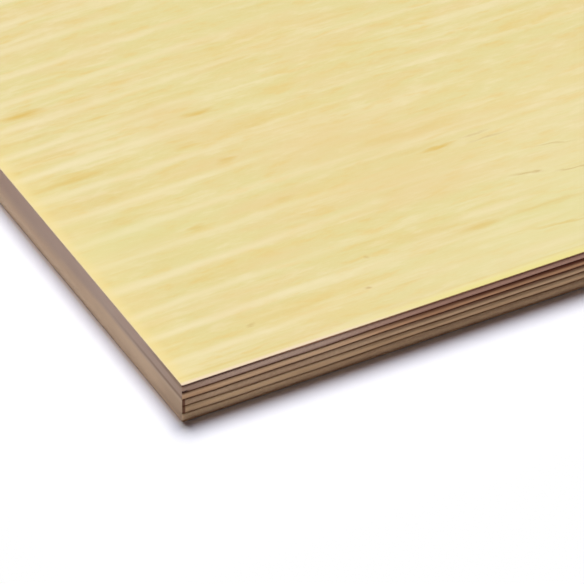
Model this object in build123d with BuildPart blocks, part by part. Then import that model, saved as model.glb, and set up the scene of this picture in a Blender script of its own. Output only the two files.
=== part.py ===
"""A full sheet of veneer-core plywood, lying face up.

Seven plies are laid with the grain of each across the grain of its neighbours: a thin
back veneer, five thick core plies and a thin face veneer. A dark film of hardened glue
lies between each two plies. The sheet rests on its back, with its length along X, its
width along Y and the middle of its underside at the origin.
"""

import os

from build123d import *

# Sheet outline, in millimetres. The face grain runs along the length.
SHEET_LENGTH = 2440.0
SHEET_WIDTH = 1220.0

# Thicknesses of the lay-up, which add up to a sheet of 18 mm
VENEER_THICKNESS = 0.6
CORE_PLY_THICKNESS = 3.12
GLUE_THICKNESS = 0.2

# The saw lifts the fibres along both long edges, which breaks the sharp corners of each
# core ply there and leaves the brittle glue film a little short of the edge.
PLY_ARRIS = 0.2
GLUE_SETBACK = 0.35

# The outer corners of the two veneers are eased by sanding, on all four sides.
VENEER_ARRIS = 0.15

# Core plies from the back up to the face, each across the grain of the one before
CORE_PLIES = (
    "lower_crossband",
    "lower_long_ply",
    "centre_crossband",
    "upper_long_ply",
    "upper_crossband",
)

PARTS_FOLDER = "parts"


def write_part(part: Part, name: str) -> None:
    """Labels a finished piece and writes it to a STEP file of the same name."""
    part.label = name
    export_step(part, os.path.join(PARTS_FOLDER, f"{name}.step"))


def make_glue_line(number: int, underside: float) -> float:
    """Makes one film of glue on top of a ply and returns the height of its top."""
    with BuildPart() as glue_line:
        with BuildSketch(Plane.XY.offset(underside)):
            Rectangle(SHEET_LENGTH, SHEET_WIDTH - 2 * GLUE_SETBACK)
        extrude(amount=GLUE_THICKNESS)
    write_part(glue_line.part, f"glue_line_{number}")
    return underside + GLUE_THICKNESS


def make_core_ply(name: str, underside: float) -> float:
    """Makes one core ply, with its long corners broken, and returns the height of its top."""
    with BuildPart() as core_ply:
        with BuildSketch(Plane.XY.offset(underside)):
            Rectangle(SHEET_LENGTH, SHEET_WIDTH)
        extrude(amount=CORE_PLY_THICKNESS)
        chamfer(core_ply.edges().filter_by(Axis.X), PLY_ARRIS)
    write_part(core_ply.part, name)
    return underside + CORE_PLY_THICKNESS


os.makedirs(PARTS_FOLDER, exist_ok=True)

# Back veneer, on the floor
with BuildPart() as back_veneer:
    with BuildSketch(Plane.XY):
        Rectangle(SHEET_LENGTH, SHEET_WIDTH)
    extrude(amount=VENEER_THICKNESS)
    chamfer(back_veneer.faces().sort_by(Axis.Z)[0].edges(), VENEER_ARRIS)
write_part(back_veneer.part, "back_veneer")

# Core, each ply on its own film of glue
height = VENEER_THICKNESS
for number, name in enumerate(CORE_PLIES, start=1):
    height = make_glue_line(number, height)
    height = make_core_ply(name, height)
height = make_glue_line(len(CORE_PLIES) + 1, height)

# Face veneer, on top
with BuildPart() as face_veneer:
    with BuildSketch(Plane.XY.offset(height)):
        Rectangle(SHEET_LENGTH, SHEET_WIDTH)
    extrude(amount=VENEER_THICKNESS)
    chamfer(face_veneer.faces().sort_by(Axis.Z)[-1].edges(), VENEER_ARRIS)
write_part(face_veneer.part, "face_veneer")

print(f"sheet {SHEET_LENGTH} x {SHEET_WIDTH} x {height + VENEER_THICKNESS:.2f} mm")
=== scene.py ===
"""Dresses a sheet of veneer-core plywood and sets it on a white studio floor.

Every layer of the sheet is laid out again by one Geometry Nodes tree, with the torn fibres, broken
corners and wandering glue lines that a saw leaves. Each layer then gets its own wood or glue finish.
Lengths are in metres and colours are written as they look on a screen, from 0 to 255.
"""

import logging
import math
from dataclasses import dataclass, field
from enum import Enum
from functools import reduce
from typing import Any, Optional, Union

import bpy
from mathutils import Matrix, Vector


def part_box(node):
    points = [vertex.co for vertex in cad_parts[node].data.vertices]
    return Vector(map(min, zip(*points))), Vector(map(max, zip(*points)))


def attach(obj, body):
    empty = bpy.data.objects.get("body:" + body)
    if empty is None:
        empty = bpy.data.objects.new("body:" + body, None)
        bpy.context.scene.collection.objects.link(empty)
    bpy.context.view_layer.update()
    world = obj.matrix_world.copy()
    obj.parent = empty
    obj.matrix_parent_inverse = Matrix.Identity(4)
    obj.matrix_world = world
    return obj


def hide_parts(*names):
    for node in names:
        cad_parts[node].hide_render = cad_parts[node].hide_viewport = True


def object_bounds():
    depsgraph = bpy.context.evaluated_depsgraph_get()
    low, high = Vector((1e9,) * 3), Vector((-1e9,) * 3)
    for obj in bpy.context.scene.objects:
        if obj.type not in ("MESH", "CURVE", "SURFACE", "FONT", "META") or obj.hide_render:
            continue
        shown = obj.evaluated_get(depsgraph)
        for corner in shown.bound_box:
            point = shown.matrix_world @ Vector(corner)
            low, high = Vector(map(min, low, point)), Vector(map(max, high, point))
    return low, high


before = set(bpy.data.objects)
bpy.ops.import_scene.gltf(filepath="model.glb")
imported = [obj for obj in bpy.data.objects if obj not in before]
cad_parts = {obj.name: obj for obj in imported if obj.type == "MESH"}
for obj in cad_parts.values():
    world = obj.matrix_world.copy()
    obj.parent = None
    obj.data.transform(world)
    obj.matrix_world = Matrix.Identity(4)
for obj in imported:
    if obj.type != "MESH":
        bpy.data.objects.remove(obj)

LOG = logging.getLogger("plywood_sheet")
CAD_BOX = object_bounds()
BODY = "root"
MM = 0.001

Screen = tuple[int, int, int]
Number = Union[float, "Link"]
Levels = tuple[float, float, float]


def linear(colour: Screen) -> tuple[float, float, float, float]:
    """Turns a screen colour into the linear one that a shader takes.

    Args:
        colour: red, green and blue from 0 to 255.

    Returns:
        Linear red, green and blue, with an alpha of one.
    """
    def channel(value: int) -> float:
        """One channel, by the screen's own curve."""
        part = value / 255
        return part / 12.92 if part <= 0.04045 else ((part + 0.055) / 1.055) ** 2.4

    return (*(channel(value) for value in colour), 1.0)


class Link:
    """An output of a node. Sums written with it add Math nodes to its tree."""

    def __init__(self, tree: "Tree", socket: bpy.types.NodeSocket) -> None:
        """Keeps the tree and the socket."""
        self.tree = tree
        self.socket = socket

    def also(self, name: str) -> "Link":
        """Another output of the same node, by its name."""
        return Link(self.tree, self.socket.node.outputs[name])

    def __add__(self, other: Number) -> "Link":
        """Sum."""
        return self.tree.math("ADD", self, other)

    def __radd__(self, other: Number) -> "Link":
        """Sum, from the right."""
        return self.tree.math("ADD", other, self)

    def __sub__(self, other: Number) -> "Link":
        """Difference."""
        return self.tree.math("SUBTRACT", self, other)

    def __rsub__(self, other: Number) -> "Link":
        """Difference, from the right."""
        return self.tree.math("SUBTRACT", other, self)

    def __mul__(self, other: Number) -> "Link":
        """Product."""
        return self.tree.math("MULTIPLY", self, other)

    def __rmul__(self, other: Number) -> "Link":
        """Product, from the right."""
        return self.tree.math("MULTIPLY", other, self)

    def __truediv__(self, other: Number) -> "Link":
        """Quotient."""
        return self.tree.math("DIVIDE", self, other)

    def __rtruediv__(self, other: Number) -> "Link":
        """Quotient, from the right."""
        return self.tree.math("DIVIDE", other, self)

    def __pow__(self, other: Number) -> "Link":
        """Power."""
        return self.tree.math("POWER", self, other)

    def __rpow__(self, other: Number) -> "Link":
        """Power, from the right."""
        return self.tree.math("POWER", other, self)

    def __abs__(self) -> "Link":
        """Size without its sign."""
        return self.tree.math("ABSOLUTE", self)


class Tree:
    """Adds nodes to one node tree, of a material or of a geometry."""

    SEED_STEPS = (17.1, 5.3, 29.7)

    def __init__(self, nodes: bpy.types.NodeTree) -> None:
        """Keeps the tree, emptied."""
        self.nodes = nodes
        self.nodes.nodes.clear()

    def node(
        self,
        kind: str,
        settings: Optional[dict[str, Any]] = None,
        sockets: Optional[dict[Union[str, int], Any]] = None,
        out: Union[str, int] = 0,
    ) -> Link:
        """Adds a node.

        Args:
            kind: the node's type.
            settings: its properties by name, set first.
            sockets: values or links for its inputs, by name or place, or a list of links for one input.
            out: the output to return.

        Returns:
            That output.
        """
        made = self.nodes.nodes.new(kind)
        for name, value in (settings or {}).items():
            setattr(made, name, value)
        for key, given in (sockets or {}).items():
            for value in given if isinstance(given, list) else [given]:
                if isinstance(value, Link):
                    self.nodes.links.new(value.socket, made.inputs[key])
                else:
                    made.inputs[key].default_value = value
        return Link(self, made.outputs[out]) if made.outputs else Link(self, made.inputs[0])

    def math(self, operation: str, *values: Number) -> Link:
        """A Math node on one to three values."""
        return self.node("ShaderNodeMath", {"operation": operation}, dict(enumerate(values)))

    def step(self, value: Number, low: Number, high: Number, top: float = 1.0) -> Link:
        """A smooth step: 0 where value is at low, top where it is at high."""
        settings = {"interpolation_type": "SMOOTHSTEP"}
        return self.node("ShaderNodeMapRange", settings, {0: value, 1: low, 2: high, 4: top})

    def vector(self, x: Number, y: Number, z: Number) -> Link:
        """A vector of three values."""
        return self.node("ShaderNodeCombineXYZ", None, {0: x, 1: y, 2: z})

    def mix(self, share: Number, first: Any, second: Any) -> Link:
        """Two colours mixed.

        Args:
            share: how much of the second.
            first: a link or a linear colour.
            second: a link or a linear colour.

        Returns:
            The mixed colour.
        """
        settings = {"data_type": "RGBA", "clamp_factor": True}
        return self.node("ShaderNodeMix", settings, {0: share, 6: first, 7: second}, 2)

    def noise(self, place: Link, detail: float = 2.0, rough: float = 0.5, seed: Number = 0.0) -> Link:
        """Soft noise from 0 to 1, with its grains about one unit of place apart.

        Args:
            place: where it is read.
            detail: how many finer layers it has.
            rough: how strong the finer layers are.
            seed: picks another part of the pattern.

        Returns:
            The noise.
        """
        steps = tuple(seed * step for step in self.SEED_STEPS)
        away = self.vector(*steps) if isinstance(seed, Link) else steps
        moved = self.node("ShaderNodeVectorMath", {"operation": "ADD"}, {0: place, 1: away})
        return self.node(
            "ShaderNodeTexNoise",
            {"noise_dimensions": "3D"},
            {"Vector": moved, "Scale": 1.0, "Detail": detail, "Roughness": rough},
        )


class LayerTree(Tree):
    """Geometry Nodes that lay a band of faces round a layer's edge and close it above and below.

    The band's columns run once round the four sides and crowd together towards the corners. Its rows
    climb the edge, crowding towards the two arrises, and its first and last row lie inside the rim.
    """

    RIM = 6.0 * MM
    CROWDING = 0.93
    WELD = 1e-6
    TORN_NOISE = (3.0, 0.6)
    WANDER_PERIODS = (55.0, 90.0, 3.0)
    WANDER_NOISE = (4.0, 0.65)
    LINE_PERIODS = 21.0
    LINE_NOISE = (2.0, 0.5)
    LINE_RISE = 0.4
    LINE_RISE_SPAN = (58.0 * MM, 100.0 * MM)
    NICK_SPAN = (0.1 * MM, 1.15 * MM)
    NICK_BLUR = 0.15 * MM
    FLAT_FACE = 0.9
    INPUTS = {
        "NodeSocketFloat": (
            "Length", "Width", "Underside", "Thickness", "Lower Arris", "Upper Arris", "End Share",
            "Corner Radius", "Setback", "Relief", "Nick", "Seed", "Lower Wander", "Upper Wander",
            "Lower Line", "Upper Line", "Lower Sway", "Upper Sway",
        ),
        "NodeSocketVector": ("Lower Stray", "Upper Stray", "Fibres"),
        "NodeSocketInt": ("Columns", "Rows"),
        "NodeSocketMaterial": ("Material",),
    }

    def __init__(self) -> None:
        """Builds the whole tree."""
        super().__init__(bpy.data.node_groups.new("plywood_layer", "GeometryNodeTree"))
        self.keys: dict[str, str] = {}
        for kind, names in self.INPUTS.items():
            for name in names:
                made = self.nodes.interface.new_socket(name=name, in_out="INPUT", socket_type=kind)
                self.keys[name] = made.identifier
        self.nodes.interface.new_socket(
            name="Geometry", in_out="OUTPUT", socket_type="NodeSocketGeometry"
        )
        self.given = self.node("NodeGroupInput")
        band = self.band()
        closed = self.closed(band)
        shaded = self.shaded(closed)
        real = self.node("GeometryNodeRealizeInstances", None, {"Geometry": shaded})
        finished = self.node(
            "GeometryNodeSetMaterial", None, {"Geometry": real, "Material": self.size("Material")}
        )
        self.node("NodeGroupOutput", None, {"Geometry": finished})

    def size(self, name: str) -> Link:
        """One of the tree's inputs."""
        return self.given.also(name)

    def band(self) -> Link:
        """Lays the faces round the edge and welds them where their two ends meet.

        Returns:
            The band.
        """
        rows, columns = self.size("Rows"), self.size("Columns")
        grid = self.node(
            "GeometryNodeMeshGrid",
            None,
            {"Size X": 4.0, "Size Y": 1.0, "Vertices X": columns * 4 + 1, "Vertices Y": rows + 2},
        )
        here = self.node("ShaderNodeSeparateXYZ", None, {0: self.node("GeometryNodeInputPosition")})
        moved = self.node(
            "GeometryNodeSetPosition",
            None,
            {"Geometry": grid, "Position": self.place(here + 2.0, (here.also("Y") + 0.5) * (rows + 1))},
        )
        return self.node("GeometryNodeMergeByDistance", None, {"Geometry": moved, "Distance": self.WELD})

    def round_the_sides(self, way: Link) -> tuple[Link, Link]:
        """Where a column stands on a square from -1 to 1.

        Args:
            way: how far round it is, a side being one.

        Returns:
            Its place along the length and along the width.
        """
        side = self.math("FLOOR", way)
        along = way - side
        wave = self.math("SINE", along * math.tau)
        crowded = side + along - wave * (self.CROWDING / math.tau)

        def across(middle: float) -> Link:
            """A wave that climbs, rests, falls and rests, one side each."""
            climb = 2.0 - abs(crowded - middle) * 2.0
            return self.math("MINIMUM", self.math("MAXIMUM", climb, -1.0), 1.0)

        return across(1.5), across(2.5)

    def place(self, way: Link, ring: Link) -> Link:
        """Where a point of the band goes.

        Args:
            way: how far round the sheet it is, a side being one.
            ring: its row, counted from the inner one below.

        Returns:
            Its place in the sheet.
        """
        rows, thick = self.size("Rows"), self.size("Thickness")
        length, width = self.size("Length") / 2.0, self.size("Width") / 2.0
        east, north = self.round_the_sides(way)
        x, y = east * length, north * width
        to_end = length - abs(x)
        inner = self.math("GREATER_THAN", abs(ring - (rows + 1) / 2.0), rows / 2.0)
        edge = 1.0 - inner
        up = self.node("ShaderNodeClamp", None, {0: (ring - 1.0) / (rows - 1)})
        rise = 0.5 - 0.5 * self.math("COSINE", up * math.pi)
        height = rise * thick
        level = self.size("Underside") + height

        lower = self.size("Lower Arris") - height
        upper = self.size("Upper Arris") - (thick - height)
        broken = self.math("MAXIMUM", self.math("MAXIMUM", lower, upper), 0.0)
        inset_x = inner * self.RIM + edge * (broken * self.size("End Share"))
        inset_y = inner * self.RIM + edge * (broken + self.torn(x, y, level, to_end))
        inset_y = inset_y + self.size("Setback")

        strayed = self.course("Lower", x, y, to_end) * (1.0 - up) + self.course("Upper", x, y, to_end) * up
        level = level + edge * (self.wandered(x, y, up, to_end) + strayed)
        flat = self.rounded(east * (length - inset_x), north * (width - inset_y))
        return self.vector(flat, flat.also("Y"), level)

    def torn(self, x: Link, y: Link, level: Link, to_end: Link) -> Link:
        """How far torn fibres and the nick by the corners draw a long edge in.

        Args:
            x: the place along the sheet.
            y: the place across it.
            level: the height in it.
            to_end: the distance from the nearer short end.

        Returns:
            The distance inward.
        """
        fibres = self.node(
            "ShaderNodeVectorMath", {"operation": "MULTIPLY"},
            {0: self.vector(x, y, level), 1: self.size("Fibres")},
        )
        torn = self.noise(fibres, *self.TORN_NOISE, self.size("Seed")) * self.size("Relief")
        near, far = self.NICK_SPAN
        nicked = self.step(to_end, near, near + self.NICK_BLUR)
        nicked = nicked * (1.0 - self.step(to_end, far, far + self.NICK_BLUR)) * self.size("Nick")
        return torn + nicked

    def wandered(self, x: Link, y: Link, up: Link, to_end: Link) -> Link:
        """How far a ply's arrises wander into it, away from the corners.

        Args:
            x: the place along the sheet.
            y: the place across it.
            up: how far up the layer's edge it is, from 0 to 1.
            to_end: the distance from the nearer short end.

        Returns:
            The distance upward.
        """
        along, across, over = self.WANDER_PERIODS
        walk = self.vector(x * along, y * across, up * over)
        noise = self.noise(walk, *self.WANDER_NOISE, self.size("Seed"))
        shift = self.size("Lower Wander") * (1.0 - up) - self.size("Upper Wander") * up
        shift = shift * self.step(to_end, 0.0, self.NICK_SPAN[1])
        return shift * self.node("ShaderNodeClamp", None, {0: noise})

    def course(self, side: str, x: Link, y: Link, to_end: Link) -> Link:
        """How far the glue line on one side of the layer lies off its level course.

        Args:
            side: Lower or Upper.
            x: the place along the sheet.
            y: the place across it.
            to_end: the distance from the nearer short end.

        Returns:
            The distance upward.
        """
        route = self.vector(x * self.LINE_PERIODS, y * self.LINE_PERIODS, 0.0)
        noise = self.noise(route, *self.LINE_NOISE, self.size(f"{side} Line"))
        risen = self.step(to_end, *self.LINE_RISE_SPAN, self.LINE_RISE) - 0.5
        stray = self.node("ShaderNodeSeparateXYZ", None, {0: self.size(f"{side} Stray")})
        strayed = stray.also("Z") * self.step(abs(to_end - stray), stray.also("Y"), 0.0)
        return (noise + risen) * self.size(f"{side} Sway") + strayed

    def rounded(self, x: Link, y: Link) -> Link:
        """Draws a point in from a sharp upright corner to a round one.

        Args:
            x: its place along the sheet.
            y: its place across it.

        Returns:
            The new place along the sheet, with the one across it as the node's Y.
        """
        radius = self.size("Corner Radius")
        inner = self.vector(self.size("Length") / 2.0 - radius, self.size("Width") / 2.0 - radius, 0.0)

        def of(operation: str, first: Link, key: Union[str, int] = 1, second: Any = (0.0, 0.0, 0.0)) -> Link:
            """A Vector Math node on a vector and what its other socket takes."""
            return self.node("ShaderNodeVectorMath", {"operation": operation}, {0: first, key: second})

        sharp = self.vector(x, y, 0.0)
        core = of("MAXIMUM", of("MINIMUM", sharp, 1, inner), 1, of("SCALE", inner, "Scale", -1.0))
        spread = of("SUBTRACT", sharp, 1, core)
        share = self.math("MINIMUM", radius / of("LENGTH", spread).also("Value"), 1.0)
        round_place = of("ADD", core, 1, of("SCALE", spread, "Scale", share))
        return self.node("ShaderNodeSeparateXYZ", None, {0: round_place})

    def closed(self, band: Link) -> Link:
        """Puts a flat face across each of the band's two openings.

        Args:
            band: the faces round the edge.

        Returns:
            The closed layer.
        """
        under, thick = self.size("Underside"), self.size("Thickness")
        height = self.node("ShaderNodeSeparateXYZ", None, {0: self.node("GeometryNodeInputPosition")}, "Z")
        open_edge = self.math(
            "COMPARE", self.node("GeometryNodeInputMeshEdgeNeighbors"), 1.0, 0.5
        )
        upper = self.math("GREATER_THAN", height, under + thick * 0.5)
        loop = self.node(
            "GeometryNodeMeshToCurve", None, {"Mesh": band, "Selection": open_edge * upper}
        )
        lid = self.node("GeometryNodeFillCurve", {"mode": "NGONS"}, {"Curve": loop})
        floor = self.node("GeometryNodeFlipFaces", None, {"Mesh": lid})
        top = self.node(
            "GeometryNodeTransform", None,
            {"Geometry": lid, "Translation": self.vector(0.0, 0.0, under + thick)},
        )
        bottom = self.node(
            "GeometryNodeTransform", None,
            {"Geometry": floor, "Translation": self.vector(0.0, 0.0, under)},
        )
        joined = self.node("GeometryNodeJoinGeometry", None, {"Geometry": [bottom, top, band]})
        return self.node(
            "GeometryNodeMergeByDistance", None, {"Geometry": joined, "Distance": self.WELD}
        )

    def shaded(self, layer: Link) -> Link:
        """Shades the two broad faces flat and the edge smooth.

        Args:
            layer: the closed layer.

        Returns:
            The layer, shaded.
        """
        facing = self.node("ShaderNodeSeparateXYZ", None, {0: self.node("GeometryNodeInputNormal")}, "Z")
        round_edge = self.math("LESS_THAN", abs(facing), self.FLAT_FACE)
        return self.node(
            "GeometryNodeSetShadeSmooth", None, {"Geometry": layer, "Shade Smooth": round_edge}
        )


@dataclass(frozen=True)
class Pattern:
    """Soft noise in a finish: its grains to the metre each way, its finer layers and its own seed."""

    along: float
    across: float
    up: float = 0.0
    detail: float = 2.0
    seed: float = 0.0


class Finish(Tree):
    """A material for one layer, built from nodes that know where a point is in the layer."""

    ROUGH = 0.55
    BUMP_STRENGTH = 0.5

    def __init__(self, name: str, low: Vector, high: Vector) -> None:
        """Makes the material.

        Args:
            name: the material's name.
            low: the layer's lowest corner.
            high: the layer's highest corner.
        """
        self.material = bpy.data.materials.new(name)
        self.material.use_nodes = True
        super().__init__(self.material.node_tree)
        self.low, self.high = low, high
        here = self.node("ShaderNodeTexCoord", None, None, "Object")
        self.x = self.node("ShaderNodeSeparateXYZ", None, {0: here})
        self.y = self.x.also("Y")
        self.z = self.x.also("Z")

    @property
    def from_end(self) -> Link:
        """Distance in from the nearer short end."""
        return self.high.x - abs(self.x)

    @property
    def from_side(self) -> Link:
        """Distance in from the nearer long edge."""
        return self.high.y - abs(self.y)

    def grain(self, pattern: Pattern, seed: float = 0.0, sway: Number = 0.0) -> Link:
        """Noise with its own fineness each way.

        Args:
            pattern: what it is like.
            seed: picks another part of it.
            sway: how far the grain strays across the sheet.

        Returns:
            Noise from 0 to 1.
        """
        place = self.vector(self.x * pattern.along, (self.y + sway) * pattern.across, self.z * pattern.up)
        return self.noise(place, pattern.detail, self.ROUGH, pattern.seed + seed)

    def washed(self, colour: Any, washes: tuple[tuple[Screen, Number], ...]) -> Link:
        """A colour with others laid over it, one after the other.

        Args:
            colour: a link or a linear colour.
            washes: each colour and how strongly it covers.

        Returns:
            The finished colour.
        """
        for tint, share in washes:
            colour = self.mix(share, colour, linear(tint))
        return colour

    def surface(
        self, colour: Link, bumps: Link, depth: float, rough: tuple[float, float], gloss: float
    ) -> bpy.types.Material:
        """Adds the shader and the output.

        Args:
            colour: the finished colour.
            bumps: the height of the surface's fine relief, from 0 to 1.
            depth: how deep that relief is, in metres.
            rough: how rough the surface is in the hollows, and what the relief adds to it.
            gloss: how strongly it reflects.

        Returns:
            The finished material.
        """
        relief = {"Strength": self.BUMP_STRENGTH, "Distance": depth, "Height": bumps}
        look = {
            "Base Color": colour,
            "Roughness": rough[0] + rough[1] * bumps,
            "Specular IOR Level": gloss,
            "Normal": self.node("ShaderNodeBump", None, relief),
        }
        shader = self.node("ShaderNodeBsdfPrincipled", None, look)
        self.node("ShaderNodeOutputMaterial", None, {"Surface": shader})
        return self.material


class Grain(Enum):
    """Which way a ply's fibres run."""

    ALONG = "long_ply"
    ACROSS = "crossband"


class Tint(Enum):
    """Which of the veneer's colours a mark in it takes."""

    BLUSH = "blush"
    SAGE = "sage"
    PALE = "pale"
    FLECK = "fleck"
    PIN = "pin"


@dataclass(frozen=True)
class EndSeal:
    """The smooth sealed coat on the two short ends: mauve above a seam and tan below it, with a painted
    highlight under the seam and painted light along the bottom.
    """

    upper: Screen = (212, 186, 172)
    lower: Screen = (236, 206, 176)
    seam: Screen = (150, 116, 96)
    ledge: Screen = (246, 220, 192)
    foot: Screen = (255, 226, 196)
    corner: Screen = (180, 150, 124)
    dull: Screen = (188, 153, 134)
    seam_height: float = 11.7 * MM
    seam_half: float = 0.9 * MM
    seam_reach: tuple[float, float] = (78.0 * MM, 6.0 * MM)
    seam_sway: float = 0.9 * MM
    highlight_drop: float = 1.6 * MM
    highlight_reach: float = 30.0 * MM
    blend: tuple[float, float] = (3.2 * MM, 4.5 * MM)
    blend_reach: tuple[float, float] = (60.0 * MM, 130.0 * MM)
    foot_heights: tuple[float, float] = (2.6 * MM, 4.2 * MM)
    foot_reach: tuple[float, float] = (30.0 * MM, 110.0 * MM)
    corner_reach: float = 30.0 * MM
    brow_heights: tuple[float, float] = (15.2 * MM, 17.2 * MM)
    brow_reach: tuple[float, float] = (38.0 * MM, 6.0 * MM)
    dull_reach: tuple[float, float] = (60.0 * MM, 170.0 * MM)
    depth: float = 0.25 * MM
    seam_fade: tuple[float, float] = (1.5, 0.1)
    seam_share: float = 0.6
    highlight_share: float = 0.7
    brow_share: float = 0.7
    corner_share: float = 0.42
    dull_share: float = 0.5
    least_dull: float = 0.2
    foot_fade: float = 0.2
    waver: Pattern = Pattern(1.0, 30.0, 1.0, seed=3.1)
    tone: Pattern = Pattern(1.0, 16.0, 70.0, 3.0, 6.6)
    tone_levels: Levels = (0.35, 0.75, 0.3)

    def share(self, finish: Finish) -> Link:
        """Where the coat lies: 1 on the two ends and 0 elsewhere."""
        return finish.step(finish.from_end, self.depth, self.depth / 2)

    def seam_line(self, finish: Finish, height: Link) -> Link:
        """How strongly the seam shows, fading away from the sheet's corners.

        Args:
            finish: the material that the coat lies over.
            height: the height above the floor, wavering.

        Returns:
            The seam's strength at each point.
        """
        off = abs(height - self.seam_height) / self.seam_half
        by_corner = finish.step(finish.from_side, *self.seam_reach, self.seam_share)
        return finish.step(off, *self.seam_fade) * by_corner

    def colour(self, finish: Finish) -> Link:
        """The coat's colour.

        Args:
            finish: the material that the coat lies over.

        Returns:
            The colour at each point.
        """
        in_from_side = finish.from_side
        height = finish.z + (finish.grain(self.waver) - 0.5) * self.seam_sway
        blend = self.blend[0] + finish.step(in_from_side, *self.blend_reach, self.blend[1])
        change = finish.step(height, self.seam_height - blend, self.seam_height + self.blend[0] / 8)
        dulled = finish.step(finish.grain(self.tone), *self.tone_levels)
        far = finish.step(in_from_side, *self.dull_reach, self.dull_share)
        far = far * (self.least_dull + (1.0 - self.least_dull) * change)
        # Painted highlight: a light line just below the seam, near the sheet's corners.
        drop = abs(height - self.seam_height + self.highlight_drop)
        ledge = finish.step(in_from_side, self.highlight_reach, 0.0, self.highlight_share)
        ledge = ledge * finish.step(drop, self.highlight_drop, 0.0)
        brow = finish.step(finish.z, *self.brow_heights) * finish.step(in_from_side, *self.brow_reach)
        corner = finish.step(in_from_side, self.corner_reach, 0.0, self.corner_share)
        # Painted light: the bottom of each end is lightened, against the shade near the floor.
        top = self.foot_heights[0] + finish.step(in_from_side, *self.foot_reach, self.foot_heights[1])
        washes = (
            (self.upper, change),
            (self.dull, dulled),
            (self.dull, far),
            (self.ledge, ledge),
            (self.seam, brow * self.brow_share),
            (self.corner, corner),
            (self.foot, finish.step(finish.z, top, top * self.foot_fade)),
            (self.seam, self.seam_line(finish, height)),
        )
        return finish.washed(linear(self.lower), washes)


@dataclass(frozen=True)
class CorePlyFinish:
    """Sawn core veneer, darker towards its arrises: partly dark glue staining the joints, partly painted
    shade by the grooves between plies.
    """

    light: Screen
    dark: Screen
    grain: Grain
    lower_stain: float
    upper_stain: float
    seed: float
    nicked: bool = False
    chipped: bool = False
    further: Optional[Screen] = None
    further_reach: tuple[float, float] = (55.0 * MM, 115.0 * MM)
    corner: Screen = (150, 114, 88)
    corner_reach: tuple[float, float] = (16.0 * MM, 2.0 * MM)
    corner_share: float = 0.32
    stain: Screen = (98, 48, 29)
    stain_reach: float = 1.25 * MM
    chip: Screen = (48, 20, 12)
    chip_shade_length: float = 3.4 * MM
    chip_shade_height: float = 1.2 * MM
    tone: Pattern = Pattern(13.0, 13.0, 60.0, 3.0)
    tone_share: float = 0.65
    tone_levels: tuple[float, float] = (0.34, 0.66)
    long_fibres: Pattern = Pattern(45.0, 45.0, 1500.0, 3.0, 1.0)
    end_fibres: Pattern = Pattern(900.0, 900.0, 1500.0, 2.0, 1.0)
    ragged: Pattern = Pattern(60.0, 60.0, 500.0, 3.0, 2.0)
    ragged_share: float = 0.7
    patchy: Pattern = Pattern(16.0, 16.0, 120.0, 2.0, 3.0)
    least_stain: float = 0.34
    spread_share: float = 0.4
    least_further: float = 0.4
    nick_shade_fade: tuple[float, float] = (0.6, 1.4)
    nick_shade_share: float = 0.85
    relief: float = 0.12 * MM
    roughness: tuple[float, float] = (0.82, -0.12)
    gloss: float = 0.2
    seal: EndSeal = field(default_factory=EndSeal)

    def made(self, name: str, low: Vector, high: Vector) -> bpy.types.Material:
        """Builds the material.

        Args:
            name: the material's name.
            low: the ply's lowest corner.
            high: the ply's highest corner.

        Returns:
            The material.
        """
        wood = Finish(name, low, high)
        tone = wood.grain(self.tone, self.seed)
        fine = wood.grain(self.long_fibres if self.grain is Grain.ALONG else self.end_fibres, self.seed)
        shade = wood.step(tone * self.tone_share + fine * (1.0 - self.tone_share), *self.tone_levels)
        colour = wood.mix(shade, linear(self.dark), linear(self.light))
        if self.further:
            patched = self.least_further + (1.0 - self.least_further) * tone
            patched = wood.step(wood.from_end, *self.further_reach) * patched
            colour = wood.mix(patched, colour, linear(self.further))
        corner = wood.step(wood.from_end, *self.corner_reach, self.corner_share)
        colour = wood.washed(colour, ((self.corner, corner), (self.stain, self.soaked(wood))))
        # Painted shade in the nick by each corner, where the geometry draws the edge in.
        if self.nicked:
            near, far = LayerTree.NICK_SPAN
            before, beyond = self.nick_shade_fade
            nick = wood.step(wood.from_end, near * before, near)
            nick = nick * wood.step(wood.from_end, far * beyond, far)
            colour = wood.mix(nick * self.nick_shade_share, colour, linear(self.stain))
        # Painted shade: a dark patch at the bottom of the ply near each end, standing for the shadow in a
        # chip that the geometry does not have.
        if self.chipped:
            chip = wood.step(wood.from_end, self.chip_shade_length, self.chip_shade_length / 2)
            chip = chip * wood.step(wood.z - wood.low.z, self.chip_shade_height, self.chip_shade_height / 2)
            colour = wood.mix(chip, colour, linear(self.chip))
        colour = wood.mix(self.seal.share(wood), colour, self.seal.colour(wood))
        return wood.surface(colour, fine, self.relief, self.roughness, self.gloss)

    def soaked(self, wood: Finish) -> Link:
        """How dark the ply is made, deepest at its arrises and away from the corners: partly glue staining,
        partly painted shade by the grooves between plies.

        Args:
            wood: the ply's material.

        Returns:
            The darkening's strength at each point.
        """
        ragged = wood.grain(self.ragged, self.seed) - 0.5
        spread = wood.step(wood.from_end, *self.further_reach, self.spread_share)
        reach = self.stain_reach * (1.0 + ragged * self.ragged_share + spread)
        patchy = self.least_stain + (1.0 - self.least_stain) * wood.grain(self.patchy, self.seed)
        # Partly glue staining, partly painted shade: darker towards the ply's lower and upper arrises.
        under = wood.step((wood.z - wood.low.z) / reach, 1.0, 0.0, self.lower_stain)
        over = wood.step((wood.high.z - wood.z) / reach, 1.0, 0.0, self.upper_stain)
        return wood.math("MAXIMUM", under, over) * (patchy + spread)


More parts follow.
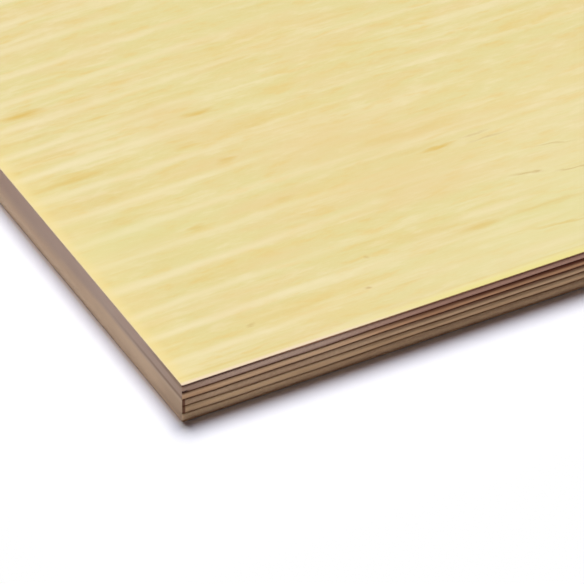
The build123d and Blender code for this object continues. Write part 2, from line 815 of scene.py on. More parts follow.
@dataclass(frozen=True)
class GlueFinish:
    """Hardened dark resin, hidden on the two ends by their seal."""

    resin: Screen
    lump: Screen = (120, 78, 52)
    lumps: Pattern = Pattern(220.0, 220.0, 900.0, 3.0)
    lump_levels: Levels = (0.4, 0.75, 0.8)
    relief: float = 0.1 * MM
    roughness: tuple[float, float] = (0.6, 0.2)
    gloss: float = 0.25
    seal: EndSeal = field(default_factory=EndSeal)

    def made(self, name: str, low: Vector, high: Vector) -> bpy.types.Material:
        """Builds the material.

        Args:
            name: the material's name.
            low: the film's lowest corner.
            high: the film's highest corner.

        Returns:
            The material.
        """
        glue = Finish(name, low, high)
        lumps = glue.grain(self.lumps)
        colour = glue.mix(glue.step(lumps, *self.lump_levels), linear(self.resin), linear(self.lump))
        colour = glue.mix(self.seal.share(glue), colour, self.seal.colour(glue))
        return glue.surface(colour, lumps, self.relief, self.roughness, self.gloss)


@dataclass(frozen=True)
class Mark:
    """A fleck, pin mark or pale flash in the face, in millimetres from the sheet's near left corner."""

    start: tuple[float, float]
    end: tuple[float, float]
    breadth: float
    strength: float
    tint: Tint = Tint.FLECK
    fade: tuple[float, float] = (1.35, 0.1)

    def mask(self, wood: Finish, place: Link) -> Link:
        """How strongly the mark shows.

        Args:
            wood: the material.
            place: where it is read, frayed.

        Returns:
            Its strength at each point.
        """
        run = Vector(self.end) - Vector(self.start)
        middle = (Vector(self.start) + Vector(self.end)) / 2 * MM
        own = wood.node(
            "ShaderNodeMapping",
            {"vector_type": "TEXTURE"},
            {
                "Vector": place,
                "Location": (wood.low.x + middle.x, wood.low.y + middle.y, 0.0),
                "Rotation": (0.0, 0.0, math.atan2(run.y, run.x)),
                "Scale": (run.length / 2 * MM, self.breadth / 2 * MM, 1.0),
            },
        )
        reach = wood.node("ShaderNodeVectorMath", {"operation": "LENGTH"}, {0: own}, "Value")
        return wood.step(reach, *self.fade, self.strength)


@dataclass(frozen=True)
class VeneerFinish:
    """Pale sliced veneer, sanded smooth: soft patches, pale ripples by the ends that are partly a painted
    sheen, and small flecks.
    """

    cool: Screen = (225, 211, 146)
    warm: Screen = (229, 203, 129)
    blush: Screen = (230, 205, 146)
    sage: Screen = (224, 217, 151)
    pale: Screen = (240, 225, 180)
    fleck: Screen = (217, 179, 73)
    pin: Screen = (178, 130, 46)
    rim: Screen = (235, 221, 139)
    tan: Screen = (244, 222, 150)
    # The arris colour is partly wear and partly a painted highlight.
    arris: Screen = (243, 219, 188)
    edge: Screen = (98, 52, 44)
    further_edge: Screen = (184, 124, 94)
    edge_reach: tuple[float, float] = (18.0 * MM, 60.0 * MM)
    edge_span: tuple[float, float] = (0.5 * MM, 0.4 * MM)
    edge_worn_highlight: float = 0.06 * MM
    face_up: bool = True
    sway: float = 9.0 * MM
    fray: tuple[float, float] = (9.0 * MM, 3.2 * MM)
    streak_reach: tuple[float, float] = (230.0 * MM, 520.0 * MM)
    ripple_pitch: float = 16.7 * MM
    ripple_start: float = 13.5 * MM
    ripple_slope: float = 0.02
    ripple_stray: float = 6.0 * MM
    ripple_kink: float = 2.0 * MM
    ripple_drift: float = 200.0 * MM
    even_length: tuple[float, float] = (600.0 * MM, 300.0 * MM)
    even_width: tuple[float, float] = (450.0 * MM, 250.0 * MM)
    ripple_reach: tuple[float, float] = (70.0 * MM, 190.0 * MM)
    hollow_reach: float = 45.0 * MM
    brim_near: float = 6.0 * MM
    brim_far: float = 26.0 * MM
    rim_width: float = 5.0 * MM
    thread_inset: float = 4.0 * MM
    thread_half: float = 1.0 * MM
    # Where the pale arris lies: partly wear, partly a painted highlight.
    worn_highlight_width: float = 2.2 * MM
    worn_highlight_reach: tuple[float, float] = (50.0 * MM, 130.0 * MM)
    rubbed_highlight_end: float = 0.9 * MM
    marks: tuple[Mark, ...] = ()
    strays: Pattern = Pattern(5.0, 11.0)
    fibres: Pattern = Pattern(60.0, 1100.0, seed=1.0)
    fibre_level: float = 0.3
    fibre_share: float = 0.06
    broad: Pattern = Pattern(1.1, 6.5, seed=2.0)
    rings: float = 11.0
    ring_levels: tuple[float, float] = (0.9, 1.0)
    ring_shares: tuple[float, float] = (0.07, 0.11)
    patches: Pattern = Pattern(14.0, 60.0, detail=4.0, seed=3.0)
    patch_share: float = 0.8
    patch_levels: Levels = (0.46, 0.72, 0.65)
    bands: Pattern = Pattern(9.0, 170.0, detail=3.0, seed=4.0)
    band_levels: Levels = (0.48, 0.72, 0.46)
    mottle: Pattern = Pattern(75.0, 240.0, detail=2.5, seed=5.0)
    warm_mottle: Levels = (0.5, 0.78, 0.7)
    fleck_mottle: Levels = (0.52, 0.75, 0.09)
    pale_mottle: Levels = (0.5, 0.22, 0.44)
    pores: Pattern = Pattern(420.0, 1300.0, detail=1.0, seed=6.0)
    fleck_pores: Levels = (0.5, 0.85, 0.08)
    pale_pores: Levels = (0.5, 0.15, 0.12)
    pinkish: Pattern = Pattern(20.0, 75.0, detail=3.0, seed=7.0)
    pinkish_levels: Levels = (0.45, 0.65, 0.5)
    streaks: Pattern = Pattern(0.6, 13.0, detail=4.0, seed=8.0)
    warm_streaks: Levels = (0.5, 0.7, 0.75)
    pale_streaks: Levels = (0.5, 0.3, 0.35)
    ripple_strays: Pattern = Pattern(8.0, 30.0, detail=1.0, seed=10.0)
    ripple_kinks: Pattern = Pattern(45.0, 70.0, seed=14.0)
    ripple_drifts: Pattern = Pattern(0.8, 5.0, seed=15.0)
    ripple_lengths: Pattern = Pattern(2.0, 45.0, detail=0.0, seed=11.0)
    ripple_fade: tuple[float, float] = (1.3, 0.1)
    ripple_breaks: Pattern = Pattern(18.0, 60.0, seed=12.0)
    ripple_shares: tuple[float, float] = (0.38, 0.56)
    ripple_sharpness: float = 7.0
    lulls: Pattern = Pattern(1.5, 4.0, seed=16.0)
    lull_levels: Levels = (0.62, 0.38, 0.85)
    hollows: Pattern = Pattern(28.0, 60.0, detail=3.0, seed=13.0)
    hollow_levels: tuple[float, float] = (0.42, 0.7)
    hollow_shares: tuple[float, float] = (0.1, 0.2)
    hollow_sharpness: float = 2.0
    spots: Pattern = Pattern(45.0, 330.0, detail=1.0, seed=20.0)
    spot_levels: tuple[float, float] = (0.6, 0.8)
    clumps: Pattern = Pattern(17.0, 40.0, detail=1.0, seed=21.0)
    clump_levels: Levels = (0.4, 0.62, 0.2)
    frayed_along: Pattern = Pattern(70.0, 420.0, detail=3.0, seed=22.0)
    frayed_across: Pattern = Pattern(90.0, 300.0, seed=23.0)
    mark_streaks: Pattern = Pattern(40.0, 800.0, seed=24.0)
    least_mark: float = 0.5
    margins: Pattern = Pattern(14.0, 60.0, detail=3.0, seed=30.0)
    brim_shares: tuple[float, float] = (0.48, 0.25)
    rim_spread: tuple[float, float] = (0.6, 0.8)
    rim_full: float = 0.2
    rim_shares: tuple[float, float] = (0.15, 0.75)
    thread_spread: tuple[float, float] = (0.7, 0.6)
    thread_levels: Levels = (0.3, 0.7, 0.2)
    worn_highlight_full: float = 0.3
    worn_highlight_share: float = 0.9
    rubbed_highlight_share: float = 0.35
    relief: float = 0.04 * MM
    roughness: tuple[float, float] = (0.62, -0.1)
    gloss: float = 0.25
    seal: EndSeal = field(default_factory=EndSeal)

    def made(self, name: str, low: Vector, high: Vector, seed: float) -> bpy.types.Material:
        """Builds the material.

        Args:
            name: the material's name.
            low: the veneer's lowest corner.
            high: the veneer's highest corner.
            seed: picks the pattern.

        Returns:
            The material.
        """
        wood = Finish(name, low, high)
        sway = (wood.grain(self.strays, seed) - 0.5) * self.sway
        fibres = wood.grain(self.fibres, seed, sway)
        colour = self.figure(wood, sway, fibres, seed)
        colour = self.rippled(wood, colour, seed)
        colour = self.marked(wood, colour, sway, seed)
        colour = self.edged(wood, colour, seed)
        return wood.surface(colour, fibres, self.relief, self.roughness, self.gloss)

    def figure(self, wood: Finish, sway: Link, fibres: Link, seed: float) -> Link:
        """The broad colour: greenish and pinkish patches, bands, long streaks, mottling and fibres.

        Args:
            wood: the veneer's material.
            sway: how far the grain strays.
            fibres: the fine fibres.
            seed: picks the pattern.

        Returns:
            The colour at each point.
        """
        broad, patches, bands, mottle, pinkish, streaks = (
            wood.grain(pattern, seed, sway)
            for pattern in (self.broad, self.patches, self.bands, self.mottle, self.pinkish, self.streaks)
        )
        pores = wood.grain(self.pores, seed)
        patches = patches * self.patch_share + broad * (1.0 - self.patch_share)
        inward = wood.step(wood.from_end, *self.streak_reach)
        rings = wood.step(wood.math("COSINE", broad * (math.tau * self.rings)), *self.ring_levels)
        rings = rings * (self.ring_shares[0] + self.ring_shares[1] * inward)
        washes = (
            (self.warm, wood.step(patches, *self.patch_levels)),
            (self.blush, wood.step(pinkish, *self.pinkish_levels)),
            (self.pale, wood.step(bands, *self.band_levels)),
            (self.fleck, rings),
            (self.warm, wood.step(streaks, *self.warm_streaks) * inward),
            (self.pale, wood.step(streaks, *self.pale_streaks) * inward),
            (self.warm, wood.step(mottle, *self.warm_mottle)),
            (self.fleck, wood.step(mottle, *self.fleck_mottle)),
            (self.pale, wood.step(mottle, *self.pale_mottle)),
            (self.fleck, wood.step(pores, *self.fleck_pores)),
            (self.pale, wood.step(pores, *self.pale_pores)),
            (self.fleck, (fibres - self.fibre_level) * self.fibre_share),
        )
        return wood.washed(linear(self.cool), washes)

    def rippled(self, wood: Finish, colour: Link, seed: float) -> Link:
        """The colour with pale ripples, partly figure and partly a painted sheen, and blotched yellow hollows
        that fade away from the ends.

        The ripples are even by the near left corner. Elsewhere their pitch drifts, and they come and go.

        Args:
            wood: the veneer's material.
            colour: the colour so far.
            seed: picks the pattern.

        Returns:
            The colour with the ripples.
        """
        stray, kinks, drift = (
            (wood.grain(pattern, seed) - 0.5) * reach
            for pattern, reach in (
                (self.ripple_strays, self.ripple_stray),
                (self.ripple_kinks, self.ripple_kink),
                (self.ripple_drifts, self.ripple_drift),
            )
        )
        even = wood.step(wood.x - wood.low.x, *self.even_length)
        uneven = 1.0 - even * wood.step(wood.y - wood.low.y, *self.even_width)
        climb = stray + kinks + drift * uneven - wood.from_end * self.ripple_slope
        turns = (wood.y + climb - (wood.low.y + self.ripple_start)) / self.ripple_pitch
        wave = 0.5 + 0.5 * wood.math("COSINE", turns * math.tau)

        near, far = self.ripple_reach
        reach = near + (far - near) * wood.grain(self.ripple_lengths, seed)
        by_end = wood.step(wood.from_end / reach, *self.ripple_fade)
        broken = self.ripple_shares[0] + self.ripple_shares[1] * wood.grain(self.ripple_breaks, seed)
        lulls = wood.step(wood.grain(self.lulls, seed), *self.lull_levels)
        # The pale crests are partly the veneer's figure and partly a painted sheen.
        crests_and_sheen = wave ** self.ripple_sharpness * by_end * (broken * (1.0 - lulls * uneven))

        blotch = wood.step(wood.grain(self.hollows, seed), *self.hollow_levels)
        least, by_ends = self.hollow_shares
        fading = least + wood.step(wood.from_end, self.hollow_reach, 0.0, by_ends)
        hollows = (1.0 - wave) ** self.hollow_sharpness * blotch * fading
        return wood.washed(colour, ((self.fleck, hollows), (self.pale, crests_and_sheen)))

    def marked(self, wood: Finish, colour: Link, sway: Link, seed: float) -> Link:
        """The colour with its scattered flecks and the placed marks.

        Args:
            wood: the veneer's material.
            colour: the colour so far.
            sway: how far the grain strays.
            seed: picks the pattern.

        Returns:
            The colour with the marks.
        """
        spots = wood.step(wood.grain(self.spots, seed, sway), *self.spot_levels)
        clumps = wood.step(wood.grain(self.clumps, seed), *self.clump_levels)
        colour = wood.mix(spots * clumps, colour, linear(self.fleck))
        along = (wood.grain(self.frayed_along, seed, sway) - 0.5) * self.fray[0]
        across = (wood.grain(self.frayed_across, seed, sway) - 0.5) * self.fray[1]
        place = wood.vector(wood.x + along, wood.y + across, 0.0)
        streaky = self.least_mark + wood.grain(self.mark_streaks, seed, sway)
        for tint in Tint:
            masks = [mark.mask(wood, place) for mark in self.marks if mark.tint is tint]
            if masks:
                shown = reduce(lambda first, second: wood.math("MAXIMUM", first, second), masks)
                colour = wood.mix(shown * streaky, colour, linear(getattr(self, tint.value)))
        return colour

    def edged(self, wood: Finish, colour: Link, seed: float) -> Link:
        """The colour with its yellow margins, a pale arris that is partly wear and partly a painted
        highlight, and edges in their own colour, sealed on the ends.

        Args:
            wood: the veneer's material.
            colour: the colour so far.
            seed: picks the pattern.

        Returns:
            The finished colour.
        """
        patchy = wood.grain(self.margins, seed)
        brim = wood.step(wood.from_end, self.brim_near * (0.5 + patchy), 0.0, self.brim_shares[0])
        brim = brim + wood.step(wood.from_end, self.brim_far, 0.0, self.brim_shares[1])
        further = wood.step(wood.from_end, *self.worn_highlight_reach)
        wide = self.rim_width * (self.rim_spread[0] + self.rim_spread[1] * patchy)
        margin = wood.step(wood.from_side, wide, self.rim_width * self.rim_full)
        margin = margin * (self.rim_shares[0] + self.rim_shares[1] * further)
        inset = self.thread_inset * (self.thread_spread[0] + self.thread_spread[1] * patchy)
        thread = wood.step(abs(wood.from_side - inset), self.thread_half, 0.0)
        thread = thread * wood.step(patchy, *self.thread_levels)
        # Painted highlight along the long arrises near the corners, partly wear.
        worn_highlight = wood.step(wood.from_side, self.worn_highlight_width * (0.5 + patchy), self.worn_highlight_width * self.worn_highlight_full)
        worn_highlight = worn_highlight * (1.0 - further)
        washes = (
            (self.tan, brim),
            (self.rim, margin),
            (self.fleck, thread),
            (self.arris, worn_highlight * self.worn_highlight_share),
            (self.arris, wood.step(wood.from_end, self.rubbed_highlight_end, self.rubbed_highlight_end / 4, self.rubbed_highlight_share)),
        )
        colour = wood.washed(colour, washes)
        from_glue = wood.z - wood.low.z if self.face_up else wood.high.z - wood.z
        # The painted highlight also reaches a little way down the edge.
        wall = wood.step(from_glue + self.edge_worn_highlight * worn_highlight, *self.edge_span)
        lighter = wood.step(wood.from_end, *self.edge_reach)
        edge = wood.mix(lighter, linear(self.edge), linear(self.further_edge))
        colour = wood.mix(wall, colour, edge)
        return wood.mix(self.seal.share(wood) * wall, colour, self.seal.colour(wood))


@dataclass(frozen=True)
class Layer:
    """One layer of the sheet and how its edge is cut, in the words of the tree's inputs."""

    node: str
    slot: str
    suffix: str
    rows: int
    relief: float
    fibres: tuple[float, float, float]
    seed: float
    lower_arris: float = 0.0
    upper_arris: float = 0.0
    end_share: float = 0.0
    corner_radius: float = 0.9 * MM
    setback: float = 0.0
    nick: float = 0.0
    lower_wander: float = 0.0
    upper_wander: float = 0.0
    lower_line: float = 0.0
    upper_line: float = 0.0
    lower_sway: float = 0.0
    upper_sway: float = 0.0
    lower_stray: tuple[float, float, float] = (0.0, MM, 0.0)
    upper_stray: tuple[float, float, float] = (0.0, MM, 0.0)


@dataclass
class PlywoodSheet:
    """The whole sheet: two veneers, five core plies and six films of glue."""

    FIBRES = {Grain.ALONG: (30.0, 30.0, 900.0), Grain.ACROSS: (700.0, 700.0, 700.0)}
    GLUE_LUMPS = (300.0, 300.0, 300.0)
    STRAYS = {4: (0.0, 16.0 * MM, 0.36 * MM), 5: (62.0 * MM, 52.0 * MM, -0.34 * MM)}

    ply_arris: float = 0.2 * MM
    ply_wander: float = 0.16 * MM
    ply_relief: float = 0.10 * MM
    ply_rows: int = 9
    nick_depth: float = 0.2 * MM
    glue_relief: float = 0.12 * MM
    lowest_relief: float = 0.04 * MM
    glue_rows: int = 3
    glue_seed: float = 50.0
    veneer_arris: float = 0.15 * MM
    veneer_end_share: float = 2.4
    veneer_relief: float = 0.03 * MM
    veneer_rows: int = 5
    face_seeds: tuple[float, float] = (71.0, 4.0)
    back_arris: float = 0.12 * MM
    back_setback: float = 0.03 * MM
    back_seeds: tuple[float, float] = (83.0, 40.0)
    line_sway: float = 1.5 * MM
    veneer_sway: float = 0.3 * MM
    glue_lines: int = 6
    columns: int = 720
    tree: LayerTree = field(default_factory=LayerTree)

    def laid(self, layer: Layer, material: bpy.types.Material) -> bpy.types.Object:
        """Makes one layer in place of its node.

        Args:
            layer: what to make.
            material: its finish.

        Returns:
            The new piece.
        """
        low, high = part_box(layer.node)
        inputs = {title.replace("_", " ").title(): value for title, value in vars(layer).items()}
        inputs.update({
            "Length": high.x - low.x,
            "Width": high.y - low.y,
            "Underside": low.z,
            "Thickness": high.z - low.z,
            "Columns": self.columns,
            "Material": material,
        })
        name = f"{layer.node}_{layer.suffix}"
        piece = bpy.data.objects.new(name, bpy.data.meshes.new(name))
        bpy.context.scene.collection.objects.link(piece)
        modifier = piece.modifiers.new("layer", "NODES")
        modifier.node_group = self.tree.nodes
        for title, key in self.tree.keys.items():
            modifier[key] = inputs[title]
        graph = bpy.context.evaluated_depsgraph_get()
        mesh = bpy.data.meshes.new_from_object(piece.evaluated_get(graph), depsgraph=graph)
        piece.modifiers.remove(modifier)
        piece.data = mesh
        mesh.name = name
        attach(piece, BODY)
        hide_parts(layer.node)
        LOG.info("%s: %d faces", name, len(mesh.polygons))
        return piece

    def followed(self, side: str, line: int) -> dict[str, Any]:
        """How one side of a layer follows a glue line, which sways least beside the thin veneers.

        Args:
            side: lower or upper.
            line: the glue line's number, from the bottom.

        Returns:
            The line, how far it sways and where it strays, by the names of the layer's values.
        """
        sway = self.veneer_sway if line in (1, self.glue_lines) else self.line_sway
        stray = self.STRAYS.get(line, Layer.lower_stray)
        return {f"{side}_line": float(line), f"{side}_sway": sway, f"{side}_stray": stray}

    def core(self) -> None:
        """Makes the five core plies."""
        plies = {
            "lower_crossband": CorePlyFinish(
                (255, 222, 182), (240, 200, 160), Grain.ACROSS, 0.0, 0.5, 1.7, corner_share=0.1),
            "lower_long_ply": CorePlyFinish(
                (250, 213, 170), (226, 185, 142), Grain.ALONG, 0.4, 0.55, 9.2, True),
            "centre_crossband": CorePlyFinish(
                (230, 198, 164), (206, 170, 138), Grain.ACROSS, 0.55, 0.7, 17.4, True,
                further=(246, 208, 166)),
            "upper_long_ply": CorePlyFinish(
                (248, 210, 170), (226, 182, 142), Grain.ALONG, 0.7, 0.86, 25.9,
                further=(216, 156, 116), corner_share=0.12),
            "upper_crossband": CorePlyFinish(
                (226, 196, 178), (202, 168, 148), Grain.ACROSS, 0.82, 0.5, 33.3,
                chipped=True, further=(216, 164, 144)),
        }
        for line, (node, finish) in enumerate(plies.items(), start=1):
            over_glue = min(line - 1, 1)
            layer = Layer(
                node, finish.grain.value, "sawn", self.ply_rows,
                self.ply_relief, self.FIBRES[finish.grain], finish.seed,
                lower_arris=self.ply_arris * over_glue, upper_arris=self.ply_arris,
                lower_wander=self.ply_wander * over_glue, upper_wander=self.ply_wander,
                nick=self.nick_depth if finish.nicked else 0.0,
                **self.followed("lower", line), **self.followed("upper", line + 1),
            )
            self.laid(layer, finish.made(f"{node}_wood", *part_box(node)))

    def glue(self) -> None:
        """Makes the films of glue, short of the long edges by a ragged margin."""
        dark, red, brown = (92, 44, 28), (106, 38, 20), (122, 72, 46)
        light, pale, dull = (146, 94, 66), (236, 200, 162), (112, 64, 48)
        for line, resin in enumerate((pale, light, brown, dark, red, dull), start=1):
            node = f"glue_line_{line}"
            layer = Layer(
                node, "glue", "film", self.glue_rows,
                self.glue_relief if line > 1 else self.lowest_relief, self.GLUE_LUMPS, self.glue_seed + line,
                **self.followed("lower", line), **self.followed("upper", line),
            )
            lump = GlueFinish.lump if line > 1 else pale
            self.laid(layer, GlueFinish(resin, lump).made(f"{node}_resin", *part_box(node)))

    def face_marks(self) -> tuple[Mark, ...]:
        """Lists the marks in the face by its near left corner.

        Returns:
            The marks.
        """
        blush, sage, pale, pin = Tint.BLUSH, Tint.SAGE, Tint.PALE, Tint.PIN
        return (
            Mark((90.0, 115.0), (190.0, 95.0), 50.0, 0.45, blush),
            Mark((55.0, 165.0), (95.0, 145.0), 34.0, 0.4, blush),
            Mark((45.0, 54.0), (95.0, 54.5), 9.0, 0.5, blush),
            Mark((55.0, 88.5), (112.0, 89.5), 9.0, 0.6, blush),
            Mark((48.0, 122.0), (100.0, 121.0), 10.0, 0.55, blush),
            Mark((105.0, 80.0), (178.0, 70.0), 40.0, 0.5, blush),
            Mark((22.0, 42.0), (60.0, 28.0), 28.0, 0.3, blush),
            Mark((120.0, 20.0), (300.0, 22.0), 90.0, 0.5, sage),
            Mark((-20.0, 92.0), (62.0, 90.0), 46.0, 0.4, sage),
            Mark((160.0, 70.0), (280.0, 60.0), 130.0, 0.22, pale),
            Mark((60.0, 14.0), (260.0, 14.0), 42.0, 0.2, pale),
            Mark((120.0, 10.0), (215.0, 10.0), 9.0, 0.45, pale),
            Mark((130.0, 26.5), (195.0, 26.5), 6.0, 0.45, pale),
            Mark((139.0, 41.5), (185.0, 42.0), 5.0, 0.5, pale),
            Mark((141.0, 96.0), (175.0, 97.0), 4.0, 0.4, pale),
            Mark((13.0, 187.6), (33.0, 187.4), 4.2, 0.69),
            Mark((80.0, 155.5), (96.0, 154.5), 3.8, 0.59),
            Mark((4.0, 171.5), (31.0, 171.3), 3.2, 0.29),
            Mark((-3.0, 152.5), (6.0, 152.5), 4.0, 0.34),
            Mark((-4.0, 137.6), (38.0, 137.4), 3.8, 0.44),
            Mark((65.0, 137.6), (79.0, 137.2), 4.0, 0.27),
            Mark((95.0, 137.8), (114.0, 137.0), 4.2, 0.24),
            Mark((78.0, 121.5), (87.0, 121.0), 4.2, 0.44),
            Mark((20.0, 119.5), (36.0, 119.5), 5.0, 0.14),
            Mark((-3.0, 106.0), (8.0, 105.5), 7.0, 0.24),
            Mark((8.0, 103.5), (34.0, 103.0), 6.0, 0.19),
            Mark((128.0, 102.5), (180.0, 102.0), 6.5, 0.2),
            Mark((48.0, 86.7), (56.0, 86.3), 4.4, 0.43),
            Mark((86.5, 86.8), (95.5, 86.4), 3.8, 0.24),
            Mark((138.0, 91.0), (164.0, 91.0), 4.0, 0.15),
            Mark((154.5, 88.0), (170.0, 88.2), 3.2, 0.69),
            Mark((123.0, 68.7), (139.0, 68.7), 6.0, 0.17),
            Mark((-3.0, 72.5), (7.0, 72.0), 7.0, 0.22),
            Mark((24.0, 56.0), (60.0, 55.6), 6.0, 0.14),
            Mark((138.0, 34.5), (164.0, 34.5), 4.2, 0.43),
            Mark((160.0, 35.0), (206.0, 34.0), 3.6, 0.32),
            Mark((166.0, 22.8), (196.0, 18.0), 1.8, 0.35),
            Mark((38.0, 21.4), (78.0, 21.2), 4.4, 0.12),
            Mark((172.0, 89.0), (186.0, 89.0), 1.5, 0.24, pin),
            Mark((173.0, 85.5), (195.0, 85.0), 1.4, 0.22, pin),
            Mark((178.0, 57.8), (192.0, 53.6), 1.3, 0.34, pin),
            Mark((186.5, 55.4), (190.5, 54.6), 1.8, 0.4, pin),
            Mark((195.0, 51.6), (214.0, 48.2), 1.0, 0.34, pin),
            Mark((89.5, 20.3), (93.0, 20.1), 2.2, 0.42, pin),
            Mark((39.0, 20.9), (43.0, 20.7), 1.6, 0.26, pin),
            Mark((100.0, 37.4), (102.5, 37.4), 2.0, 0.24, pin),
            Mark((195.0, 71.0), (214.0, 66.0), 1.2, 0.24, pin),
        )

    def veneers(self) -> None:
        """Makes the face and the back."""
        face = VeneerFinish(marks=self.face_marks())
        back = VeneerFinish(
            cool=(208, 184, 134), warm=(212, 176, 126), blush=(210, 180, 138), sage=(206, 186, 138),
            pale=(220, 196, 150), fleck=(176, 128, 66), pin=(150, 112, 72), rim=(206, 172, 118),
            tan=(210, 178, 124), arris=(190, 158, 116),
            edge=(250, 214, 172), further_edge=(250, 214, 172), face_up=False,
        )
        face_cut = {
            "upper_arris": self.veneer_arris,
            "end_share": self.veneer_end_share,
            **self.followed("lower", self.glue_lines),
        }
        back_cut = {
            "lower_arris": self.back_arris,
            "setback": self.back_setback,
            **self.followed("upper", 1),
        }
        for node, finish, (seed, pattern), cut in (
            ("face_veneer", face, self.face_seeds, face_cut),
            ("back_veneer", back, self.back_seeds, back_cut),
        ):
            layer = Layer(
                node, node, "sanded", self.veneer_rows,
                self.veneer_relief, self.FIBRES[Grain.ALONG], seed, **cut,
            )
            self.laid(layer, finish.made(f"{node}_wood", *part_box(node), pattern))

    def build(self) -> None:
        """Makes every layer, from the inside out."""
        self.core()
        self.glue()
        self.veneers()


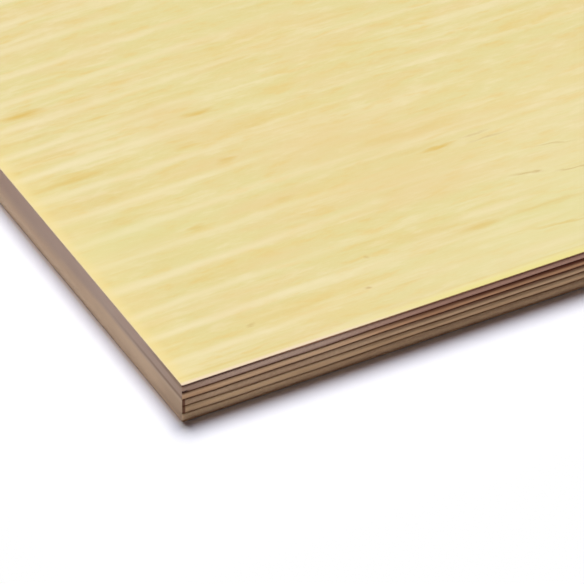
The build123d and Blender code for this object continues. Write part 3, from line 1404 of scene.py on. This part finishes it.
@dataclass
class Studio:
    """A white floor, soft light from above and behind, and the camera."""

    azimuth: float = -28.306
    elevation: float = 37.607
    focal_pixels: float = 5500.0
    picture_pixels: float = 584.0
    sensor: float = 36.0
    far_clip: float = 100.0
    pixels_per_metre: float = 2620.0
    corner_pixel: tuple[float, float] = (181.8, 385.75)
    light_lean: tuple[float, float] = (0.185, 0.425)
    light_angle: float = 32.0
    sky: tuple[float, float, float] = (0.03, 0.018, 0.024)
    floor_side: float = 120.0
    floor_white: float = 0.996
    floor_glow: float = 0.004
    # A painted bluish glow, seen only by the camera, that tints the floor's shadow round the sheet, and where
    # it lies.
    shadow_tint: tuple[float, float, float] = (0.006, 0.012, 0.085)
    tint_by_end: tuple[float, float] = (0.6 * MM, 3.0 * MM)
    tint_by_side: tuple[float, float] = (1.5 * MM, 9.0 * MM)
    tint_reach: tuple[float, float] = (90.0 * MM, 60.0 * MM)
    # Painted contact shadow: floor paint colours that darken the floor beside the long edges and the ends,
    # and how far they reach.
    contact: tuple[float, float, float] = (0.76, 0.82, 0.84)
    contact_reach: tuple[float, float] = (3.5 * MM, 0.5 * MM)
    painted_end_shadow: tuple[float, float, float] = (0.94, 0.85, 0.84)
    painted_end_shadow_reach: tuple[float, float] = (2.2 * MM, 0.5 * MM)

    def camera(self) -> None:
        """Stands the camera where the sheet's near corner falls on its pixel."""
        turn, tilt = math.radians(self.azimuth), math.radians(self.elevation)
        forward = Vector((-math.sin(turn) * math.cos(tilt), math.cos(turn) * math.cos(tilt), -math.sin(tilt)))
        right = Vector((math.cos(turn), math.sin(turn), 0.0))
        up = right.cross(forward)
        low, high = CAD_BOX
        corner = Vector((low.x, low.y, high.z))
        distance = self.focal_pixels / self.pixels_per_metre
        middle = self.picture_pixels / 2
        aside = (self.corner_pixel[0] - middle) / self.focal_pixels
        above = (middle - self.corner_pixel[1]) / self.focal_pixels
        data = bpy.data.cameras.new("camera")
        data.sensor_width = self.sensor
        data.lens = self.focal_pixels * self.sensor / self.picture_pixels
        data.clip_end = self.far_clip
        camera = bpy.data.objects.new("camera", data)
        camera.location = corner - distance * (forward + aside * right + above * up)
        camera.rotation_mode = "QUATERNION"
        camera.rotation_quaternion = forward.to_track_quat("-Z", "Y")
        bpy.context.scene.collection.objects.link(camera)
        bpy.context.scene.camera = camera

    def lamp(self) -> None:
        """Hangs one broad soft lamp above and a little behind the sheet."""
        towards = Vector((*self.light_lean, 1.0)).normalized()
        data = bpy.data.lights.new("soft_lamp", "SUN")
        data.angle = math.radians(self.light_angle)
        rest = Vector((1.0, 1.0, 1.0)) - Vector(self.sky)
        data.color = rest / max(rest)
        data.energy = math.pi * max(rest) / towards.z
        lamp = bpy.data.objects.new("soft_lamp", data)
        lamp.rotation_mode = "QUATERNION"
        lamp.rotation_quaternion = (-towards).to_track_quat("-Z", "Y")
        bpy.context.scene.collection.objects.link(lamp)

    def backdrop(self) -> None:
        """Fills in a little light from all round, behind a background that shows white."""
        world = bpy.data.worlds.new("studio")
        world.use_nodes = True
        tree = Tree(world.node_tree)
        path = tree.node("ShaderNodeLightPath")
        seen = tree.math("MAXIMUM", path, path.also("Is Glossy Ray"))
        seen = tree.math("MAXIMUM", seen, path.also("Is Transmission Ray"))
        shown = tree.mix(seen, (*self.sky, 1.0), (1.0, 1.0, 1.0, 1.0))
        back = tree.node("ShaderNodeBackground", None, {"Color": shown, "Strength": 1.0})
        tree.node("ShaderNodeOutputWorld", None, {"Surface": back})
        bpy.context.scene.world = world

    def floor(self) -> None:
        """Lays the white floor, which keeps the sheet's shadow."""
        half = self.floor_side / 2
        mesh = bpy.data.meshes.new("studio_floor")
        corners = [(-half, -half, 0.0), (half, -half, 0.0), (half, half, 0.0), (-half, half, 0.0)]
        mesh.from_pydata(corners, [], [(0, 1, 2, 3)])
        mesh.materials.append(self.floor_paint())
        floor = bpy.data.objects.new("studio_floor", mesh)
        bpy.context.scene.collection.objects.link(floor)

    def floor_paint(self) -> bpy.types.Material:
        """Makes the floor's matt white, with a painted contact shadow beside the sheet, a painted bluish glow
        in the shadow round it, and clear from below.

        Returns:
            The material.
        """
        material = bpy.data.materials.new("studio_floor")
        material.use_nodes = True
        tree = Tree(material.node_tree)
        here = tree.node("ShaderNodeTexCoord", None, None, "Object")
        x = tree.node("ShaderNodeSeparateXYZ", None, {0: here})
        high = CAD_BOX[1]
        off_end, off_side = abs(x) - high.x, abs(x.also("Y")) - high.y

        # Painted contact shadow: the paint darkens close to the long edges and the ends.
        painted_shadow_by_side = tree.step(off_side, *self.contact_reach) * tree.step(off_end, 0.0, -self.contact_reach[0])
        by_end = tree.step(off_end, *self.painted_end_shadow_reach)
        by_end = by_end * tree.step(off_side, 0.0, -self.painted_end_shadow_reach[0])
        white = (self.floor_white, self.floor_white, self.floor_white, 1.0)
        paint = tree.mix(painted_shadow_by_side, white, (*self.contact, 1.0))
        paint = tree.mix(by_end, paint, (*self.painted_end_shadow, 1.0))

        # Painted light: a bluish glow, seen only by the camera, tints the floor's shadow round the sheet.
        tint = tree.math(
            "MAXIMUM", tree.step(off_end, *self.tint_by_end), tree.step(off_side, *self.tint_by_side)
        )
        tint = tint * tree.step(tree.math("MAXIMUM", off_end, off_side), *self.tint_reach)
        plain = (self.floor_glow, self.floor_glow, self.floor_glow, 1.0)
        tinted = (*(self.floor_glow + part for part in self.shadow_tint), 1.0)
        seen = tree.node("ShaderNodeLightPath")
        shown = tree.mix(seen, (0.0, 0.0, 0.0, 1.0), tree.mix(tint, plain, tinted))

        matt = {"Roughness": 1.0, "Specular IOR Level": 0.0, "Emission Strength": 1.0}
        shader = tree.node(
            "ShaderNodeBsdfPrincipled", None, {"Base Color": paint, "Emission Color": shown, **matt}
        )
        below = tree.node("ShaderNodeNewGeometry", None, None, "Backfacing")
        clear = tree.node("ShaderNodeBsdfTransparent")
        either = tree.node("ShaderNodeMixShader", None, {0: below, 1: shader, 2: clear})
        tree.node("ShaderNodeOutputMaterial", None, {"Surface": either})
        return material

    def build(self) -> None:
        """Sets up everything round the sheet."""
        self.camera()
        self.lamp()
        self.backdrop()
        self.floor()
        bpy.context.scene.view_settings.view_transform = "Standard"


def main() -> None:
    """Builds the sheet and its studio, and reports each piece."""
    logging.basicConfig(level=logging.INFO, format="%(name)s: %(message)s")
    PlywoodSheet().build()
    Studio().build()


if __name__ == "__main__":
    main()
